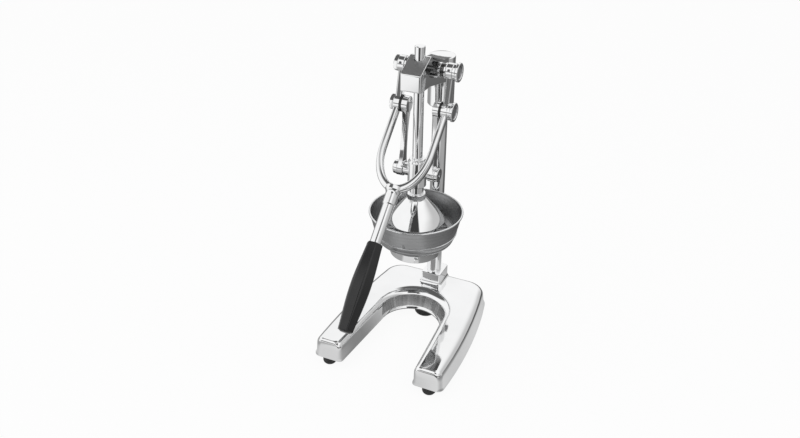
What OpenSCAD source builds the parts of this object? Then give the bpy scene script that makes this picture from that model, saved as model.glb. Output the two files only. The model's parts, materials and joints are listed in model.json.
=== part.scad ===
// Lever citrus juicer for the kitchen or bar counter.
// A cast horseshoe base carries a round post. A casting on top of the post guides the
// press rod and holds the pivot of a fork lever. Two links hang from the fork and pull
// the crosshead of the press rod up and down, so the bell presses fruit on the cone.
// Lengths are in millimetres, angles in degrees. +X is the right-hand side seen from the
// front, +Y is the back and +Z is up. The origin lies on the table, below the middle of
// the whole juicer, with the handle down.

/* [Base casting] */
// Height of the flat top of the base above the table
base_height = 40; // [32:0.5:46]
// Half the width of the base at the front of its skirt
base_half_width = 92.5; // [86:0.5:100]
// Half the width of the base at its back corners
base_half_back = 75.5; // [70:0.5:82]
// Distance from the bowl axis to the front ends of the legs
base_front = 124.5; // [116:0.5:134]
// Distance from the bowl axis to the back of the base
base_back = 100; // [96:0.5:108]
// Half the width of the gap between the legs, at the flat top and the leg ends
gap_half_width = 60.5; // [57:0.5:62]
// Radius of the round end of the gap at the flat top
gap_radius = 55.6; // [52:0.2:57]
// How far the centre of that round end lies in front of the bowl axis
gap_centre = 3.6; // [0:0.2:8]
// Wall thickness of the hollow casting
base_wall = 5; // [4:0.5:7]
// Height of the rubber feet
foot_height = 12; // [9:0.5:14]
// Radius of the two front feet
front_foot_radius = 9.2; // [7:0.2:10]
// Radius of the broad back foot
back_foot_radius = 16; // [14:0.5:19]

/* [Post] */
// Radius of the post
post_radius = 10.2; // [9:0.1:11.5]
// Distance from the bowl axis back to the post axis
post_back = 74.5; // [70:0.5:78]
// Width of the socket block on the base
socket_width = 29.2; // [27:0.2:34]
// Distance from the post axis to the back of the socket block
socket_back = 19.4; // [15:0.2:20]
// Height of the socket block above the flat top
socket_height = 18; // [14:0.5:24]

/* [Bowl and its holder] */
// Height of the top of the holder ring above the table
ring_top = 143.5; // [127:0.5:152]
// Outer radius of the holder ring
ring_radius = 34; // [32:0.2:36]
// Height of the holder ring
ring_height = 11; // [9:0.5:14]
// Outer radius of the bowl at its rim
bowl_radius = 62.5; // [58:0.5:68]
// Height of the bowl above the holder ring
bowl_height = 51.5; // [47:0.5:58]
// Height of the step in the bowl above the holder ring
bowl_step = 22.5; // [19:0.5:25]
// Outer radius of the bowl at the step
bowl_step_radius = 54.5; // [52:0.5:56]
// Thickness of the bowl's steel sheet
bowl_sheet = 1.2; // [1:0.1:1.6]
// Radius of the juice spout
spout_radius = 13; // [10:0.5:16]
// Number of slots in the strainer
strainer_slots = 28; // [16:4:36]
// Height of the cone
cone_height = 20; // [17:0.5:23]
// Number of ribs on the cone
cone_ribs = 10; // [6:1:14]

/* [Press] */
// Radius of the press rod
rod_radius = 6.5; // [6:0.1:7]
// Outer radius of the press bell at its mouth
bell_radius = 37.5; // [35:0.5:40]
// Height of the press bell
bell_height = 34; // [30:0.5:38]
// Height of the bell's mouth above the step in the bowl, handle down
bell_gap = 16; // [13:0.5:20]
// Radius of the crosshead's body
cross_radius = 12.2; // [11.5:0.1:13.2]
// Height of the crosshead's body
cross_height = 39; // [34:0.5:44]
// Height of the lower link bolts above the foot of that body
cross_pin_height = 21; // [18:0.5:24]
// Length of the rod above the fixed pivot, handle down
rod_above_pivot = 35; // [30:0.5:45]

/* [Levers and links] */
// Distance from the bowl axis back to the fixed pivot
pivot_back = 24; // [22:0.5:27]
// Centre distance of the two pivots in the fork lever
crank_length = 49; // [44:0.5:54]
// Angle of the crank forward of straight down, handle down
crank_angle = 14.2; // [10:0.1:18]
// Centre distance of the two eyes in a link
link_length = 84.4; // [78:0.2:92]
// Radius of the lever bosses and link eyes
eye_radius = 10.5; // [9.5:0.1:11.5]
// Radius of the pivot shaft
shaft_radius = 6; // [5:0.1:6.5]
// Radius of the link pins
pin_radius = 5; // [4:0.1:5.5]
// Distance from the middle plane to the inner faces of the links
link_inside = 17.1; // [16.5:0.1:18.5]
// Thickness of the link eyes
eye_thickness = 7.9; // [7:0.1:8.5]
// Thickness of the black washers between link and fork
washer_thickness = 2.4; // [2:0.1:3]
// Thickness of the fork's bosses
boss_thickness = 8.6; // [8:0.1:10]
// Droop of the handle below the horizontal, handle down
handle_droop = 42.4; // [36:0.1:48]
// Distance from the link pins to the middle of the fork's round end
fork_length = 112.5; // [104:0.5:120]
// Thickness of the fork square to its plane
fork_depth = 10; // [9:0.2:11]
// Length of the fork's neck past its round end
neck_length = 22; // [18:0.5:28]
// Radius of the fork's neck
neck_radius = 8.4; // [8:0.1:9.5]
// Radius of the handle tube
tube_radius = 7.2; // [6.6:0.1:7.4]
// Length of bare tube between neck and grip
bare_tube = 50; // [40:1:60]
// Length of the grip
grip_length = 110; // [95:1:125]
// Largest radius of the grip, over its six corners
grip_radius = 13; // [12:0.1:14]
// Radius of the grip over the corners at its upper end
grip_neck_radius = 10; // [9.6:0.1:11]
// Radius of the grip over the corners at its lower end
grip_end_radius = 9.8; // [9.6:0.1:11]

/* [Head casting] */
// Half the width of the head
head_half_width = 13.5; // [12:0.1:14.5]
// Distance from the bowl axis to the front of the head
head_front = 28.5; // [25:0.5:32]
// Radius of the sleeve that clamps on the post
sleeve_radius = 17.5; // [16:0.1:19]
// Length of the sleeve below the fixed pivot
sleeve_drop = 66; // [56:0.5:74]

/* [Fits] */
// Radial clearance of bores round shafts, pins and the rod
running_fit = 0.05; // [0.03:0.01:0.08]
// Radial clearance of posts, screws and tubes in their seats
seat_fit = 0.05; // [0.03:0.01:0.1]
// Gap beside faces that slide past each other
side_gap = 0.3; // [0.2:0.05:0.4]

/* [Hidden] */
$fn = 64;

// Chain of heights, from the bowl up to the fixed pivot
step_z = ring_top + bowl_step;
rim_z = ring_top + bowl_height;
bell_z = step_z + bell_gap;
bell_top_z = bell_z + bell_height;
collar_height = 8;
neck_height = 10;
cross_z = bell_top_z + collar_height + neck_height - 2;
cross_pin_z = cross_z + cross_pin_height;
pin_y = pivot_back - crank_length * sin(crank_angle);
pin_z = cross_pin_z + sqrt(link_length * link_length - pin_y * pin_y);
pivot_z = pin_z + crank_length * cos(crank_angle);
rod_top_z = pivot_z + rod_above_pivot;

// Places across the machine, outwards from the middle plane
link_outside = link_inside + eye_thickness;
fork_inside = link_outside + washer_thickness + 0.3;
fork_outside = fork_inside + boss_thickness;
arm_middle = (fork_inside + fork_outside) / 2;

// Places along the handle, outwards from the link pins
neck_end = fork_length + neck_length;
grip_start = neck_end + bare_tube;
grip_end = grip_start + grip_length;

// The middle of the whole juicer lies in front of the bowl axis
grip_edge = 1;
grip_end_flat = 0.893;
handle_reach = (grip_end - grip_edge) * cos(handle_droop)
    + (grip_end_radius * grip_end_flat - grip_edge) * sin(handle_droop) + grip_edge - pin_y;
axis_back = (handle_reach - base_back) / 2;

// Colours of the finishes
chrome = [0.82, 0.83, 0.85];
brushed = [0.62, 0.63, 0.64];
black = [0.08, 0.08, 0.08];
dark_steel = [0.35, 0.35, 0.36];
bronze = [0.72, 0.55, 0.32];

// Everything is drawn about the bowl axis and then set back to the common origin
module on_bowl_axis() {
    translate([0, axis_back, 0]) children();
}

// Lies a part drawn along +Z on the line of a cross pin, pointing to +X
module along_x(y, z) {
    translate([0, y, z]) rotate([0, 90, 0]) children();
}

// The frame of the handle: its own X stays across, its own Z runs down the handle
module along_handle() {
    translate([0, pin_y, pin_z]) rotate([90 + handle_droop, 0, 0]) children();
}

// Copies a piece to both sides of the middle plane
module both_sides() {
    children();
    mirror([1, 0, 0]) children();
}

function unit(v) = v / norm(v);
function mix(a, b, t) = a + (b - a) * t;
function arc(centre, r, from, to, steps) =
    [for (i = [0:steps]) let (a = mix(from, to, i / steps)) centre + r * [cos(a), sin(a)]];

// One corner of an outline, rounded with radius r
function corner(before, at, after, r, steps) =
    let (
        u = unit(before - at),
        v = unit(after - at),
        half = acos(min(1, max(-1, u * v))) / 2,
        centre = at + unit(u + v) * r / sin(half),
        first = at + u * r / tan(half) - centre,
        last = at + v * r / tan(half) - centre,
        from = atan2(first[1], first[0]),
        swing = atan2(last[1], last[0]) - from,
        turn = swing > 180 ? swing - 360 : (swing < -180 ? swing + 360 : swing)
    )
    arc(centre, r, from, from + turn, steps);

// An outline with each of its corners rounded; corners are [x, y, radius]
function rounded(corners, steps) =
    let (n = len(corners), p = [for (c = corners) [c[0], c[1]]])
    [for (i = [0:n - 1])
        each corner(p[(i + n - 1) % n], p[i], p[(i + 1) % n], max(0.01, corners[i][2]), steps)];

function lift(outline, z) = [for (p = outline) [p[0], p[1], z]];

// A closed skin through rings of points, from the lowest ring to the highest
module loft(rings) {
    n = len(rings[0]);
    m = len(rings);
    sides = [for (k = [0:m - 2], i = [0:n - 1]) let (j = (i + 1) % n)
        each [[k * n + i, (k + 1) * n + i, (k + 1) * n + j], [k * n + i, (k + 1) * n + j, k * n + j]]];
    lid = [for (i = [n - 1:-1:0]) (m - 1) * n + i];
    polyhedron(points = [for (r = rings) each r],
        faces = concat([[for (i = [0:n - 1]) i]], sides, [lid]), convexity = 6);
}

// Base casting

// How far the flat top lies inside the skirt at the sides, the front and the back
crown_side = 10.8;
crown_front = 5.8;
crown_back = 13;
// The same for the shoulder, where the straight wall ends
shoulder_side = 2;
shoulder_front = 1.2;
shoulder_back = 2.6;
// The same above the lip that runs round the lower edge
lip_side = 1.4;
lip_front = 0.9;
lip_back = 1.6;
lip_height = 4;
lip_edge = 1.5;
edge_drop = 10;
front_drop = 14;
shoulder_z = base_height - edge_drop;
front_shoulder_z = base_height - front_drop;
lip_z = foot_height + lip_height;
edge_steps = 6;
// The gap widens upwards: its shoulder and skirt lie inside its flat-top outline
gap_shoulder = [8.5, 10.6, 4.4];
gap_lip = [8.8, 11.8, 8];
gap_skirt = [10, 13.1, 9.4];
mouth_radius = 6;

// How far the sides bulge at the skirt, the shoulder and the flat top
skirt_bulge = 9.1;
shoulder_bulge = 6.5;
crown_bulge = 0.8;

// Outline of the outer wall, moved in by [side, front, back]
function outer_wall(in, corner_in, bulge) =
    let (
        front = [base_half_width - in[0], -base_front + in[1]],
        back = [base_half_back - in[0], base_back - in[2]],
        side = [for (t = [0.1:0.1:0.85]) mix(front, back, t) + [bulge * 4 * t * (1 - t), 0]],
        n = len(side),
        half = concat(
            corner([0, front[1]], front, side[0], max(3, 9 - corner_in), 9),
            side,
            corner(side[n - 1], back, [0, back[1]], max(8, 26 - corner_in), 9)
        ),
        m = len(half)
    )
    concat(half, [for (i = [m - 1:-1:0]) [-half[i][0], half[i][1]]]);

// Outline of the gap; in is [half width, radius, centre] taken off the flat-top sizes
function gap_wall(in, front_in, grow) =
    let (
        w = gap_half_width - in[0] + grow,
        r = gap_radius - in[1] + grow,
        c = [0, -gap_centre - in[2]],
        f = -base_front + front_in,
        m = mouth_radius
    )
    concat(
        [[w + m, f - 30]],
        arc([w + m, f + m], m, 270, 180, 6),
        arc(c, r, 0, 180, 40),
        arc([-w - m, f + m], m, 0, -90, 6),
        [[-w - m, f - 30]]
    );

// Share of a quarter-round edge at one height, from 0 at its shoulder to 1 at the flat top
function edge_share(z, drop) =
    let (t = min(1, max(0, (z - base_height + drop) / drop)))
    1 - sqrt(1 - t * t);

// How far the front lies in at one height: straight from the lip to its shoulder, then rounded
function front_in(z) =
    let (t = min(1, (z - lip_z) / (front_shoulder_z - lip_z)))
    mix(mix(lip_front, shoulder_front, t), crown_front, edge_share(z, front_drop));

// Heights of the rings that draw the rounded upper edge
edge_levels = concat(
    [front_shoulder_z, (front_shoulder_z + shoulder_z) / 2],
    [for (i = [0:edge_steps]) shoulder_z + edge_drop * sin(90 * i / edge_steps)]
);

module base() {
    crown = [crown_side, crown_front, crown_back];
    shoulder = [shoulder_side, shoulder_front, shoulder_back];
    lip = [lip_side, lip_front, lip_back];
    outer = concat(
        [for (z = [0, lip_edge]) lift(outer_wall([0, 0, 0], 0, skirt_bulge), foot_height + z)],
        [lift(outer_wall(lip, 0, skirt_bulge), lip_z)],
        [for (z = edge_levels)
            let (
                e = edge_share(z, edge_drop),
                wall = min(1, (z - lip_z) / (shoulder_z - lip_z)),
                in = mix(mix(lip, shoulder, wall), crown, e),
                bulge = mix(mix(skirt_bulge, shoulder_bulge, wall), crown_bulge, e)
            )
            lift(outer_wall([in[0], front_in(z), in[2]], 6 * e, bulge), z)]
    );
    gap = concat(
        [for (z = [-2, lip_edge]) lift(gap_wall(gap_skirt, 0, 0), foot_height + z)],
        [lift(gap_wall(gap_lip, lip_front, 0), lip_z)],
        [for (z = edge_levels)
            let (low = mix(gap_lip, gap_shoulder, min(1, (z - lip_z) / (shoulder_z - lip_z))))
            lift(gap_wall(mix(low, [0, 0, 0], edge_share(z, edge_drop)), front_in(z), 0), z)],
        [lift(gap_wall([0, 0, 0], crown_front, 0), base_height + 2)]
    );
    inside = [
        lift(outer_wall([base_wall, base_wall, base_wall], base_wall, skirt_bulge), foot_height - 1),
        lift(outer_wall(shoulder + [base_wall, base_wall, base_wall], base_wall, shoulder_bulge), shoulder_z),
        lift(outer_wall(crown + [2, 2, 2], 9, crown_bulge), base_height - base_wall)
    ];
    inside_gap = [
        lift(gap_wall(gap_skirt, 0, base_wall), foot_height - 2),
        lift(gap_wall(gap_shoulder, 0, base_wall), shoulder_z),
        lift(gap_wall([0, 0, 0], 0, 3), base_height)
    ];
    foot_boss = 9;
    post_boss = post_radius + 6;
    rib = 4;
    // Where the ribs across the legs stand, and where the ribs along the back part start
    leg_ribs = [-60, 0];
    leg_rib_middle = 70;
    leg_rib_length = 60;
    back_rib = [32, 20];
    color(chrome) on_bowl_axis() difference() {
        union() {
            difference() {
                loft(outer);
                loft(gap);
                difference() {
                    loft(inside);
                    loft(inside_gap);
                    for (p = foot_places) translate([p[0], p[1], 0])
                        cylinder(r = foot_boss, h = base_height);
                    translate([0, post_back, 0])
                        cylinder(r = post_boss, h = base_height);
                    for (s = [-1, 1], y = leg_ribs)
                        translate([s * leg_rib_middle - leg_rib_length / 2, y, lip_z])
                            cube([leg_rib_length, rib, base_height]);
                    for (s = [-1, 1]) translate([s * back_rib[0] - rib / 2, back_rib[1], lip_z])
                        cube([rib, base_back, base_height]);
                }
            }
            post_socket();
        }
        translate([0, post_back, post_seat_z])
            cylinder(r = post_radius + seat_fit, h = base_height + socket_height);
        translate([0, post_back, 0])
            cylinder(r = bolt_radius + seat_fit, h = base_height);
        translate([0, post_back, 0])
            cylinder(r = bolt_head_radius + 1.5, h = foot_height + bolt_recess);
        for (p = foot_places) translate([p[0], p[1], 0])
            cylinder(r = foot_screw_radius + seat_fit, h = foot_screw_top + foot_screw_radius);
    }
}

// Where the feet stand: two under the leg ends, one just behind the gap
foot_across = base_half_width - 20;
foot_inset = 9;
gap_back = gap_radius - gap_skirt[1] - gap_centre - gap_skirt[2];
foot_places = [
    [foot_across, foot_inset - base_front],
    [-foot_across, foot_inset - base_front],
    [0, gap_back + back_foot_radius]
];
foot_screw_radius = 2;
foot_screw_head = 3.2;
foot_screw_seat = 4;
foot_screw_top = foot_height + 12;
post_seat_z = foot_height + 15;
bolt_radius = 4;
bolt_head_radius = 6.5;
bolt_recess = 5;

// Socket block with rounded edges and a cove where it meets the flat top
module post_socket() {
    h = socket_width / 2;
    edge = 1.2;
    cove = 3.5;
    back_cove = 0.8;
    // Height above the flat top and how far the outline grows there
    levels = [
        [-6, cove], [0, cove], [1, 2], [2.5, 0.8], [4.5, 0],
        [socket_height - edge, 0], [socket_height - 0.3 * edge, -0.3 * edge], [socket_height, -edge]
    ];
    loft([for (l = levels)
        let (w = h + l[1], back = socket_back + min(l[1], back_cove), r = 3 + l[1])
        lift([for (p = rounded([[w, -w, r], [w, back, r], [-w, back, r], [-w, -w, r]], 5)) p + [0,
            post_back]],
            base_height + l[0])]);
}

// A foot: a short rubber drum with a rounded lower edge and a recess for its screw
module rubber_foot(r) {
    recess = foot_screw_head + 0.5;
    edge = min(5.5, r - recess - 0.2);
    rotate_extrude() polygon(concat(
        [[foot_screw_radius + 0.2, foot_screw_seat], [recess, foot_screw_seat], [recess, 0],
            [r - edge, 0]],
        arc([r - edge, edge], edge, -90, 0, 8),
        [[r, foot_height - 1], [r - 0.6, foot_height], [foot_screw_radius + 0.2, foot_height]]
    ));
}

module front_feet() {
    color(black) on_bowl_axis() for (i = [0, 1])
        translate([foot_places[i][0], foot_places[i][1], 0]) rubber_foot(front_foot_radius);
}

module back_foot() {
    color(black) on_bowl_axis() translate([foot_places[2][0], foot_places[2][1], 0])
        rubber_foot(back_foot_radius);
}

// Pan-headed screws that hold the feet
module foot_screws() {
    color(dark_steel) on_bowl_axis() for (p = foot_places) translate([p[0], p[1], 0])
        rotate_extrude() polygon([
            [0, 0.4 * foot_screw_seat], [0.65 * foot_screw_head, 0.4 * foot_screw_seat],
            [foot_screw_head, 0.6 * foot_screw_seat], [foot_screw_head, foot_screw_seat],
            [foot_screw_radius, foot_screw_seat], [foot_screw_radius, foot_screw_top],
            [0, foot_screw_top + 0.5 * foot_screw_radius]]);
}

// Post and what holds it

post_top_z = pivot_z - 6;

module post() {
    thread_depth = 22;
    color(chrome) on_bowl_axis() translate([0, post_back, post_seat_z]) difference() {
        rotate_extrude()
            polygon([[0, 0], [post_radius - 1, 0], [post_radius, 1],
                [post_radius, post_top_z - post_seat_z - 1],
            [post_radius - 1, post_top_z - post_seat_z], [0, post_top_z - post_seat_z]]);
        translate([0, 0, -1]) cylinder(r = bolt_radius + seat_fit, h = thread_depth);
    }
}

module post_bolt() {
    head = 5;
    top = foot_height + bolt_recess - 1.5;
    color(dark_steel) on_bowl_axis() translate([0, post_back, 0]) union() {
        translate([0, 0, top - head]) cylinder(r = bolt_head_radius, h = head, $fn = 6);
        translate([0, 0, top - 1]) cylinder(r = bolt_radius, h = 28);
    }
}

module post_washer() {
    thickness = 1.5;
    color(dark_steel) on_bowl_axis()
        translate([0, post_back, foot_height + bolt_recess - thickness]) difference() {
        cylinder(r = bolt_head_radius + 1.2, h = thickness);
        translate([0, 0, -1]) cylinder(r = bolt_radius + 0.3, h = thickness + 2);
    }
}

// Holder ring, arm and clamp for the bowl

ring_wall = 2.2;
clamp_radius = post_radius + 6.5;
clamp_height = 19;
clamp_slit = 2;
clamp_screw_radius = 3;
ring_z = ring_top - ring_height;

module bowl_holder() {
    arm = 18;
    ear = 9;
    color(chrome) on_bowl_axis() difference() {
        union() {
            translate([0, 0, ring_z]) cylinder(r = ring_radius, h = ring_height);
            translate([-arm / 2, 0, ring_z + 0.5]) cube([arm, post_back, ring_height - 1]);
            translate([0, post_back, ring_top - (ring_height + clamp_height) / 2])
                cylinder(r = clamp_radius, h = clamp_height);
            translate([-ear, post_back, ring_top - (ring_height + clamp_height) / 2])
                cube([2 * ear, clamp_radius + 8, clamp_height]);
        }
        translate([0, 0, ring_z - 1]) cylinder(r = ring_radius - ring_wall, h = ring_height + 2);
        translate([0, post_back, 0]) cylinder(r = post_radius + seat_fit, h = 2 * ring_top);
        translate([-clamp_slit / 2, post_back, ring_z - clamp_height])
            cube([clamp_slit, 2 * clamp_radius, 3 * clamp_height]);
        along_x(clamp_screw_y, clamp_screw_z) translate([0, 0, -2 * ear])
            cylinder(r = clamp_screw_radius + seat_fit, h = 4 * ear);
        lock_screw_frame() cylinder(r = 2 + seat_fit, h = 2 * ring_wall + 2, center = true);
    }
}

clamp_screw_y = post_back + clamp_radius + 3;
clamp_screw_z = ring_top - ring_height / 2;

module holder_clamp_screw() {
    ear = 9;
    color(dark_steel) on_bowl_axis() along_x(clamp_screw_y, clamp_screw_z) union() {
        translate([0, 0, -ear - 5]) cylinder(r = clamp_screw_radius, h = 2 * ear + 6);
        translate([0, 0, ear]) difference() {
            cylinder(r = 5, h = 5);
            translate([0, 0, 2.5]) cylinder(r = 2.6, h = 4, $fn = 6);
        }
        translate([0, 0, -ear - 4.5]) cylinder(r = 5.4, h = 4.5, $fn = 6);
    }
}

// The little screw on the front of the holder ring, its own +Z pointing outwards
lock_screw_angle = -64;
module lock_screw_frame() {
    rotate([0, 0, lock_screw_angle]) translate([ring_radius, 0, ring_z + ring_height / 2])
        rotate([0, 90, 0]) children();
}

module bowl_lock_screw() {
    color(chrome) on_bowl_axis() lock_screw_frame() rotate_extrude() polygon([
        [0, -ring_wall + 0.2], [2, -ring_wall + 0.2], [2, 0.1], [3.4, 0.1], [3.4, 2.6], [2.8,
            3.4], [0, 3.4]]);
}

// Head casting

head_ridge = [3.2, 22.4];
cap_rise = 1.2;
pocket_depth = 4.2;
pocket_floor = head_half_width - pocket_depth;
bush_wall = 2;
guide_wall = 1.5;
bush_outside = fork_inside - side_gap;
guide_bore = rod_radius + running_fit + guide_wall;
guide_top = pivot_z + 12;
guide_bottom = pivot_z - 13;

// Side view of the head as [y, z] from the fixed pivot
gusset = -28;
head_profile = rounded([
    [-pivot_back - head_front, -14.5, 2],
    [4 - pivot_back, -16, 40],
    [post_back - pivot_back - sleeve_radius - 2, gusset, 10],
    [post_back - pivot_back, gusset, 0.1],
    [post_back - pivot_back, 0, 0.1],
    [pivot_back, 4.6, 20],
    [head_ridge[0] - pivot_back, head_ridge[1], 5],
    [-pivot_back - head_front, 7, 2.5]
], 8);

module head() {
    w = head_half_width;
    sleeve_top = pivot_z + 0.5;
    color(chrome) on_bowl_axis() difference() {
        union() {
            intersection() {
                translate([-w, pivot_back, pivot_z]) rotate([90, 0, 90]) linear_extrude(2 * w)
                    polygon(head_profile);
                linear_extrude(2 * pivot_z) polygon(rounded([
                    [w, -head_front, 2.5], [w, post_back + 4, 0.1],
                    [-w, post_back + 4, 0.1], [-w, -head_front, 2.5]
                ], 6));
            }
            translate([0, post_back, 0]) rotate_extrude() polygon(concat(
                [[0, pivot_z - sleeve_drop], [sleeve_radius - 1.5, pivot_z - sleeve_drop],
                    [sleeve_radius, pivot_z - sleeve_drop + 1.5]],
                [[sleeve_radius, sleeve_top - 1], [sleeve_radius - 0.3, sleeve_top - 0.3]],
                [for (i = [0:6]) let (t = i / 6)
                    [(sleeve_radius - 1) * (1 - t), sleeve_top + cap_rise * (1 - (1 - t) * (1 - t))]]
            ));
        }
        both_sides() head_pocket();
        translate([0, post_back, 0]) cylinder(r = post_radius + seat_fit, h = post_top_z + 0.5);
        translate([0, 0, guide_bottom - 20])
            cylinder(r = guide_bore + seat_fit, h = guide_top - guide_bottom + 20);
        translate([0, 0, guide_top - 1]) cylinder(r = rod_radius + 0.35, h = 60);
        along_x(pivot_back, pivot_z) translate([0, 0, -2 * head_half_width])
            cylinder(r = shaft_radius + running_fit + bush_wall + seat_fit, h = 4 * head_half_width);
        for (z = set_screw_heights) translate([0, post_back + post_radius, z]) rotate([-90, 0, 0])
            cylinder(r = 2.5 + seat_fit, h = sleeve_radius);
    }
}

set_screw_heights = [pivot_z - sleeve_drop + 14, pivot_z - sleeve_drop + 40];

// Recess in the side of the head round the pivot, with round ends
module head_pocket() {
    radii = [11.6, 9.6];
    ends = [[7.3, 7], [37, -5]];
    v = unit(ends[1] - ends[0]);
    a = atan2(v[0], -v[1]);
    translate([pocket_floor, 0, 0]) rotate([90, 0, 90]) linear_extrude(pocket_depth + 1)
        polygon([for (p = concat(arc(ends[0], radii[0], a, a + 180, 16),
            arc(ends[1], radii[1], a + 180, a + 360, 16)))
            p + [0, pivot_z]]);
}

// Set screws in the back of the sleeve
module head_set_screws() {
    color(dark_steel) on_bowl_axis() for (z = set_screw_heights)
        translate([0, post_back + post_radius + 0.2, z]) rotate([-90, 0, 0]) difference() {
            cylinder(r = 2.5, h = 5);
            translate([0, 0, 3]) cylinder(r = 1.4, h = 3, $fn = 6);
        }
}

module guide_bush() {
    color(bronze) on_bowl_axis() translate([0, 0, guide_bottom + 0.5]) difference() {
        cylinder(r = guide_bore, h = guide_top - guide_bottom - 0.5);
        translate([0, 0, -1]) cylinder(r = rod_radius + running_fit, h = guide_top - guide_bottom + 2);
    }
}

// Black nylon bushes; their broad collars keep the fork clear of the head
module pivot_bushes() {
    start = 1;
    r = shaft_radius + running_fit;
    collar = eye_radius - 0.8;
    color(black) on_bowl_axis() both_sides() along_x(pivot_back, pivot_z) rotate_extrude() polygon([
        [r, start], [r + bush_wall, start], [r + bush_wall, pocket_floor], [collar, pocket_floor],
        [collar, bush_outside - 0.5], [collar - 0.5, bush_outside], [r, bush_outside]]);
}

// Fork lever

// Middle line of the fork from the link pins round its end, as [across, along]
fork_straight = 62;
function fork_line(t) =
    let (b = fork_length - fork_straight, q = 2 * fork_straight + 3.6 * b, d = t * q)
    d < fork_straight ? [arm_middle, d]
    : (d > q - fork_straight ? [-arm_middle, q - d]
    : let (a = 180 * (d - fork_straight) / (q - 2 * fork_straight)) [arm_middle * cos(a),
        fork_straight + b * sin(a)]);

// Rounded bar section at one place on that line
function fork_ring(t) =
    let (
        e = 0.002,
        p = fork_line(t),
        v = unit(fork_line(min(1, t + e)) - fork_line(max(0, t - e))),
        n = [v[1], -v[0]],
        thick = mix(boss_thickness - 0.4, boss_thickness + 1.6, pow(sin(180 * t), 4)) / 2
    )
    [for (i = [0:19]) let (
            c = cos(18 * i),
            s = sin(18 * i),
            a = sign(c) * pow(abs(c), 0.6) * thick,
            b = sign(s) * pow(abs(s), 0.6) * fork_depth / 2
        ) [p[0] + n[0] * a, b, p[1] + n[1] * a]];

module lever_boss() {
    rotate_extrude()
        polygon([[0, fork_inside], [eye_radius - 0.6, fork_inside], [eye_radius, fork_inside + 0.6],
        [eye_radius, fork_outside - 0.8], [eye_radius - 0.8, fork_outside], [0, fork_outside]]);
}

module fork_lever() {
    limb_width = 12.4;
    limb_half = boss_thickness / 2 - 0.3;
    limb_edge = 3.2;
    flare = 9;
    color(chrome) on_bowl_axis() difference() {
        union() {
            both_sides() {
                along_x(pivot_back, pivot_z) lever_boss();
                along_x(pin_y, pin_z) lever_boss();
                translate([arm_middle, pin_y, pin_z]) rotate([-crank_angle, 0, 0])
                    linear_extrude(crank_length) polygon(rounded([
                        [limb_half, -limb_width / 2, limb_edge], [limb_half, limb_width / 2, limb_edge],
                        [-limb_half, limb_width / 2, limb_edge], [-limb_half, -limb_width / 2,
                            limb_edge]], 5));
            }
            along_handle() loft([for (i = [0:64]) fork_ring(i / 64)]);
            along_handle() rotate_extrude() polygon(concat(
                [[0, fork_length - 2], [neck_radius + 2.2, fork_length - 2]],
                arc([neck_radius + flare, fork_length + 9], flare, 225, 180, 6),
                [[neck_radius, neck_end - 1.2], [neck_radius - 1, neck_end], [0, neck_end]]
            ));
        }
        both_sides() along_x(pivot_back, pivot_z) translate([0, 0, fork_inside - 5])
            cylinder(r = shaft_radius + seat_fit, h = boss_thickness + 10);
        both_sides() along_x(pin_y, pin_z) translate([0, 0, fork_inside - 5])
            cylinder(r = pin_radius + seat_fit, h = boss_thickness + 10);
        along_handle() translate([0, 0, tube_seat])
            cylinder(r = tube_radius + seat_fit, h = neck_length);
        both_sides() fork_set_screw_frame() cylinder(r = 2 + seat_fit, h = eye_radius + 1);
    }
}

tube_seat = neck_end - 18;

// The set screws that lock the fork on the pivot shaft point forwards and up
module fork_set_screw_frame() {
    translate([arm_middle, pivot_back, pivot_z]) rotate([68, 0, 0]) children();
}

module fork_set_screws() {
    color(dark_steel) on_bowl_axis() both_sides() fork_set_screw_frame()
        translate([0, 0, shaft_radius + 0.1]) difference() {
        cylinder(r = 2, h = 3.6);
        translate([0, 0, 2]) cylinder(r = 1.1, h = 3, $fn = 6);
    }
}

// Shafts, pins and what ends them

collar_thickness = 4;
cap_thickness = 3.4;
cap_radius = eye_radius + 1.5;
nut_thickness = 5;
thread_length = collar_thickness + cap_thickness - 1.6;

module pivot_shaft() {
    color(chrome) on_bowl_axis() along_x(pivot_back, pivot_z)
        translate([0, 0, -fork_outside - nut_thickness])
        cylinder(r = shaft_radius, h = 2 * fork_outside + nut_thickness + thread_length);
}

// A plain collar outside a boss
module end_collar(bore) {
    difference() {
        translate([0, 0, fork_outside]) cylinder(r = eye_radius + 0.2, h = collar_thickness);
        cylinder(r = bore + seat_fit, h = 2 * fork_outside);
    }
}

// A turned cap with a dished face and a socket in its middle
module end_cap(bore) {
    z = fork_outside + collar_thickness;
    difference() {
        rotate_extrude() polygon([[0, z], [cap_radius, z], [cap_radius, z + cap_thickness - 0.8],
            [cap_radius - 0.8, z + cap_thickness], [cap_radius - 2.2, z + cap_thickness],
            [cap_radius - 3.4, z + cap_thickness - 0.8], [0, z + cap_thickness - 0.8]]);
        translate([0, 0, z - 1]) cylinder(r = bore + seat_fit, h = thread_length - collar_thickness + 1);
        translate([0, 0, z + cap_thickness - 1.5]) cylinder(r = 2.2, h = 3, $fn = 6);
    }
}

// A six-sided nut with a chamfered outer face
module end_nut(bore) {
    across = eye_radius + 0.2;
    difference() {
        intersection() {
            translate([0, 0, fork_outside]) cylinder(r = across, h = nut_thickness, $fn = 6);
            rotate_extrude()
                polygon([[0, fork_outside], [across, fork_outside],
                    [across, fork_outside + nut_thickness - 1],
                [across - 1.4, fork_outside + nut_thickness], [0, fork_outside + nut_thickness]]);
        }
        cylinder(r = bore + seat_fit, h = 2 * fork_outside);
    }
}

module pivot_collar() {
    color(chrome) on_bowl_axis() along_x(pivot_back, pivot_z) end_collar(shaft_radius);
}

module pivot_cap() {
    color(chrome) on_bowl_axis() along_x(pivot_back, pivot_z) end_cap(shaft_radius);
}

module pivot_nut() {
    color(chrome) on_bowl_axis() mirror([1, 0, 0]) along_x(pivot_back, pivot_z) end_nut(shaft_radius);
}

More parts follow.
